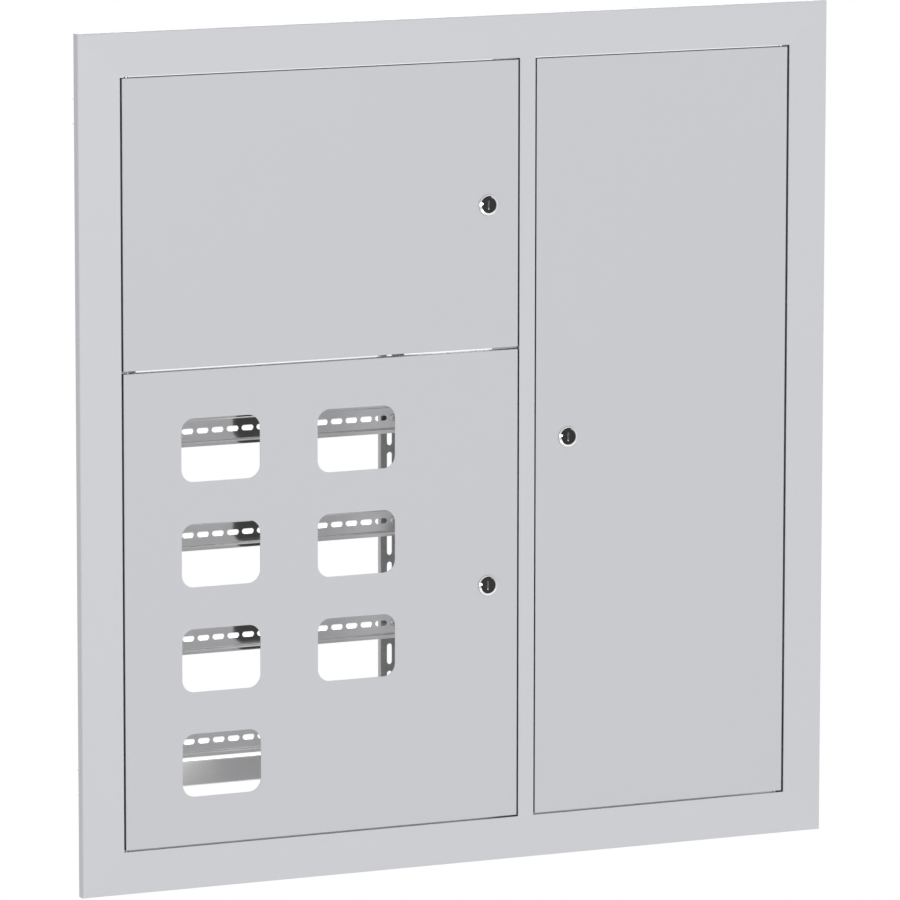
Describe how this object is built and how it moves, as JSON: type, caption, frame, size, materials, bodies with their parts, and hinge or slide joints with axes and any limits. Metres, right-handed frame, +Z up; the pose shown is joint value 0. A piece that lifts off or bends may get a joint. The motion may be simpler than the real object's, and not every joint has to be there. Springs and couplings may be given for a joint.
{
  "type": "floor distribution cabinet front with mounting frame",
  "caption": "Flush wall-recess distribution enclosure: folded front frame with hinged doors, one windowed, cam locks, and an open mounting frame of slotted uprights and top-hat rails behind.",
  "frame": {"origin": "Centre of the four wall-fixing holes, in the plane of the front face of the cross channels' webs.", "axes": "+X to the right seen from the front, +Y back into the wall, +Z up."},
  "size_m": [0.95, 0.1522, 1],
  "materials": {
    "enclosure_paint": "fine-textured light grey powder coat",
    "lock_chrome": "bright chromed zinc casting",
    "lock_black": "black core with a satin face",
    "rail_zinc": "bright zinc-plated rolled steel",
    "galvanised_steel": "galvanised folded sheet",
    "fastener_zinc": "bright zinc-plated steel"
  },
  "bodies": {
    "frame": {"compartment_partition": "galvanised_steel", "cross_channel_bottom": "galvanised_steel", "cross_channel_top": "galvanised_steel", "earth_stud_frame": "fastener_zinc", "front_frame": "enclosure_paint", "hinge_pin_bottom_left": "fastener_zinc", "hinge_pin_bottom_right": "fastener_zinc", "hinge_pin_top_left": "fastener_zinc", "hinge_pin_top_right": "fastener_zinc", "middle_hinge_bracket": "galvanised_steel", "middle_hinge_pin": "fastener_zinc", "middle_hinge_rivets": "fastener_zinc", "mounting_rail_1": "rail_zinc", "mounting_rail_2": "rail_zinc", "mounting_rail_3": "rail_zinc", "mounting_rail_4": "rail_zinc", "mounting_rail_5": "rail_zinc", "mounting_rail_6": "rail_zinc", "rail_nuts": "fastener_zinc", "rail_screws": "fastener_zinc", "side_strap_bottom_left": "galvanised_steel", "side_strap_bottom_right": "galvanised_steel", "side_strap_top_left": "galvanised_steel", "side_strap_top_right": "galvanised_steel", "strap_foot_nuts": "fastener_zinc", "strap_foot_screws": "fastener_zinc", "strap_nuts": "fastener_zinc", "strap_screws": "fastener_zinc", "upright_left": "galvanised_steel", "upright_nuts": "fastener_zinc", "upright_right": "galvanised_steel", "upright_screws": "fastener_zinc"},
    "door_1": {"door_1": "enclosure_paint", "lock_housing_1": "lock_chrome", "lock_nut_1": "fastener_zinc", "earth_stud_1": "fastener_zinc"},
    "door_2": {"door_2": "enclosure_paint", "lock_housing_2": "lock_chrome", "lock_nut_2": "fastener_zinc", "earth_stud_2": "fastener_zinc"},
    "door_3": {"door_3": "enclosure_paint", "lock_housing_3": "lock_chrome", "lock_nut_3": "fastener_zinc", "earth_stud_3": "fastener_zinc"},
    "lock_1": {"lock_plug_1": "lock_black", "lock_cam_1": "fastener_zinc", "cam_screw_1": "fastener_zinc"},
    "lock_2": {"lock_plug_2": "lock_black", "lock_cam_2": "fastener_zinc", "cam_screw_2": "fastener_zinc"},
    "lock_3": {"lock_plug_3": "lock_black", "lock_cam_3": "fastener_zinc", "cam_screw_3": "fastener_zinc"}
  },
  "joints": [
    {"name": "door_1_hinge", "type": "hinge", "parent": "frame", "child": "door_1", "pos_m": [-0.41525, -0.135, 0.2], "axis": [0, 0, -1], "range_deg": [0, 110]},
    {"name": "door_2_hinge", "type": "hinge", "parent": "frame", "child": "door_2", "pos_m": [-0.41525, -0.135, -0.2], "axis": [0, 0, -1], "range_deg": [0, 110]},
    {"name": "door_3_hinge", "type": "hinge", "parent": "frame", "child": "door_3", "pos_m": [0.41525, -0.135, 0], "axis": [0, 0, 1], "range_deg": [0, 110]},
    {"name": "lock_1_turn", "type": "hinge", "parent": "door_1", "child": "lock_1", "pos_m": [0.035, -0.135, 0.27925], "axis": [0, 1, 0], "range_deg": [0, 90]},
    {"name": "lock_2_turn", "type": "hinge", "parent": "door_2", "child": "lock_2", "pos_m": [0.035, -0.135, -0.16985], "axis": [0, 1, 0], "range_deg": [0, 90]},
    {"name": "lock_3_turn", "type": "hinge", "parent": "door_3", "child": "lock_3", "pos_m": [0.138, -0.135, 0], "axis": [0, -1, 0], "range_deg": [0, 90]}
  ]
}
